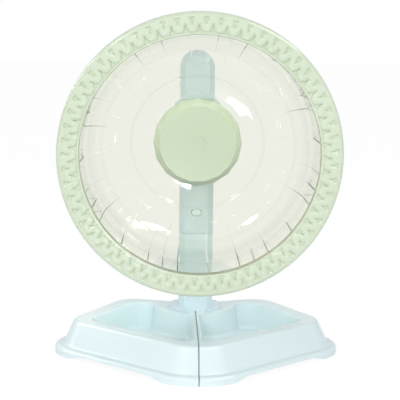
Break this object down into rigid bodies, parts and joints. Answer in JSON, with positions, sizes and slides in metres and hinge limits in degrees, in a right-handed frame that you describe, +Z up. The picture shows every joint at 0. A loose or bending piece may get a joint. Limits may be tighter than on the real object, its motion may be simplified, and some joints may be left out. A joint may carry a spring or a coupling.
{
  "type": "rodent exercise wheel",
  "caption": "Free-standing exercise wheel: a clear dish with a green zigzag ring and faceted knob, on a sprung-catch column whose base is a pair of food bowls.",
  "frame": {"origin": "on the ground, in the middle of the base's left, right, front and back limits", "axes": "+X to the viewer's right, +Y away from the viewer and along the axle, +Z up"},
  "size_m": [0.2234, 0.1767, 0.2705],
  "materials": {
    "mint_plastic": "satin",
    "blue_plastic": "satin",
    "clear_plastic": "polished",
    "white_plastic": "matte",
    "steel": "satin",
    "zinc_steel": "polished",
    "brass": "satin"
  },
  "bodies": {
    "stand": {"left_bowl": "blue_plastic", "right_bowl": "blue_plastic", "lower_post": "blue_plastic", "upper_column": "blue_plastic", "foot_plate": "white_plastic", "foot_screws": "zinc_steel", "axle_plate": "blue_plastic", "axle_plate_screws": "zinc_steel", "bearing_outer_rings": "steel", "bearing_shields": "zinc_steel", "rear_cap": "blue_plastic", "catch_spring": "steel"},
    "catch": {"catch_button": "blue_plastic"},
    "wheel": {"rim_ring": "mint_plastic", "drum": "clear_plastic", "hub_knob": "mint_plastic", "knob_insert": "brass", "hub_flange": "white_plastic", "axle_shaft": "steel", "axle_sleeve": "steel", "bearing_inner_rings": "steel", "bearing_spacer": "steel", "axle_washer": "zinc_steel", "axle_lock_nut": "zinc_steel"}
  },
  "joints": [
    {"name": "wheel_spin", "type": "hinge", "parent": "stand", "child": "wheel", "pos_m": [0, 0, 0.1655], "axis": [0, 1, 0], "continuous": true},
    {"name": "catch_press", "type": "slide", "parent": "stand", "child": "catch", "axis": [0, 1, 0], "range_m": [0, 0.0042], "stiffness_N_per_m": 500, "springref_m": -0.002, "deforming": ["catch_spring"]}
  ]
}
